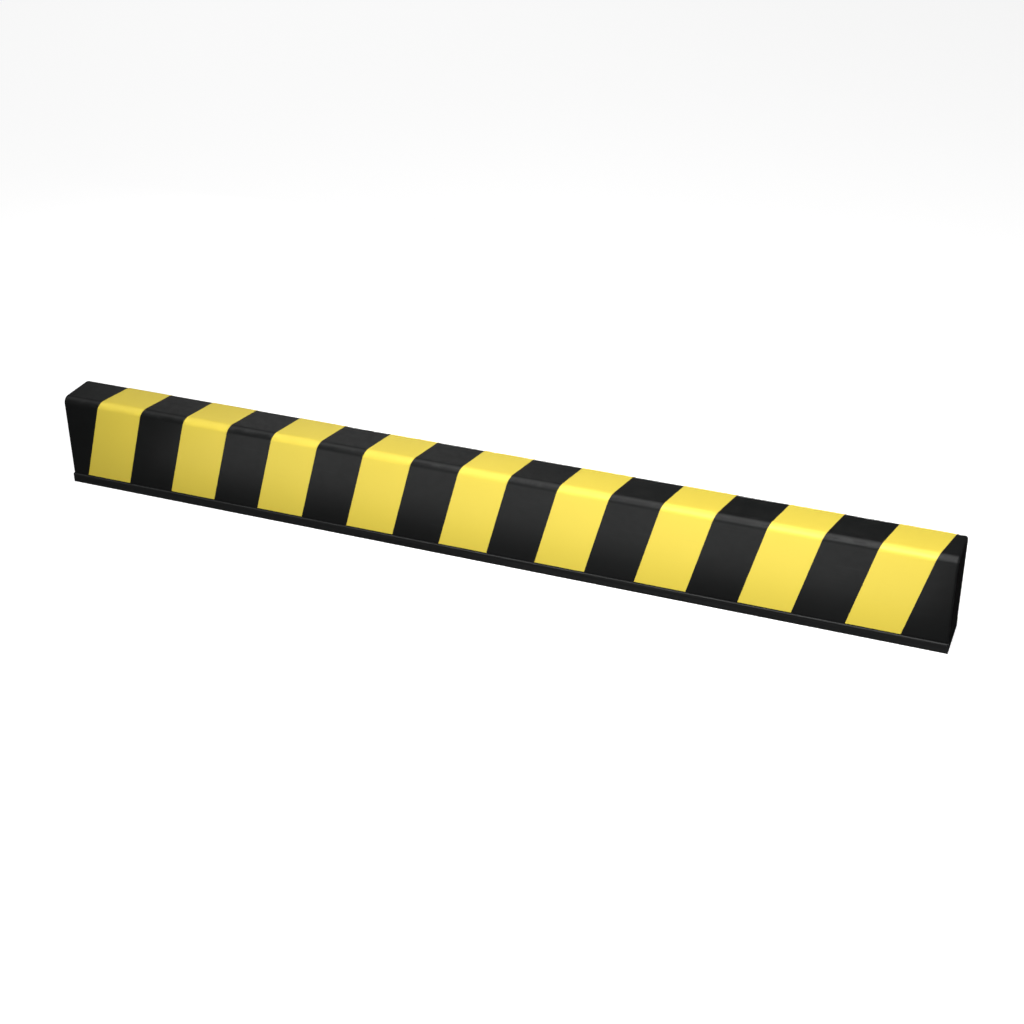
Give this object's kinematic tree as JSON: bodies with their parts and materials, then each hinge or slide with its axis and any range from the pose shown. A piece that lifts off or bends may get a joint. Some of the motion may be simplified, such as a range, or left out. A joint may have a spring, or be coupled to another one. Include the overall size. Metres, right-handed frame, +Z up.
{
  "type": "parking wheel stop",
  "caption": "Low straight parking wheel stop: a rounded black cover with slanting yellow hazard bands, on a full-length anchored base rail.",
  "frame": {"origin": "on the ground, under the middle of the stop", "axes": "+X along the stop, +Z up; the face that the tyre meets looks along -Y"},
  "size_m": [1, 0.0548, 0.1081],
  "materials": {
    "rail": "black anodised, satin, faint lengthwise lines",
    "cap": "moulded, fine texture",
    "gasket": "matt",
    "cover": "smooth moulded skin, satin",
    "film": "satin yellow marking film",
    "core": "galvanised",
    "buffer": "matt, open-textured",
    "liner": "smooth",
    "fastener": "bright zinc"
  },
  "bodies": {
    "root": {"base_rail": "rail", "rail_end_cap_left": "cap", "rail_end_cap_right": "cap", "base_gasket": "gasket", "core_channel": "core", "core_gusset_1": "core", "core_gusset_2": "core", "core_gusset_3": "core", "core_gusset_4": "core", "core_gusset_5": "core", "core_gusset_6": "core", "slide_liner_front": "liner", "slide_liner_rear": "liner", "cover": "cover", "front_buffer": "buffer", "rear_buffer": "buffer", "top_buffer": "buffer", "end_buffer_left": "buffer", "end_buffer_right": "buffer", "hazard_stripe_1": "film", "hazard_stripe_2": "film", "hazard_stripe_3": "film", "hazard_stripe_4": "film", "hazard_stripe_5": "film", "hazard_stripe_6": "film", "hazard_stripe_7": "film", "hazard_stripe_8": "film", "hazard_stripe_9": "film", "cover_screw_1": "fastener", "cover_washer_1": "fastener", "rivet_nut_1": "fastener", "cover_screw_2": "fastener", "cover_washer_2": "fastener", "rivet_nut_2": "fastener", "cover_screw_3": "fastener", "cover_washer_3": "fastener", "rivet_nut_3": "fastener", "cover_screw_4": "fastener", "cover_washer_4": "fastener", "rivet_nut_4": "fastener", "cover_screw_5": "fastener", "cover_washer_5": "fastener", "rivet_nut_5": "fastener", "lock_screw_1": "fastener", "lock_screw_2": "fastener", "lock_screw_3": "fastener"}
  },
  "joints": []
}
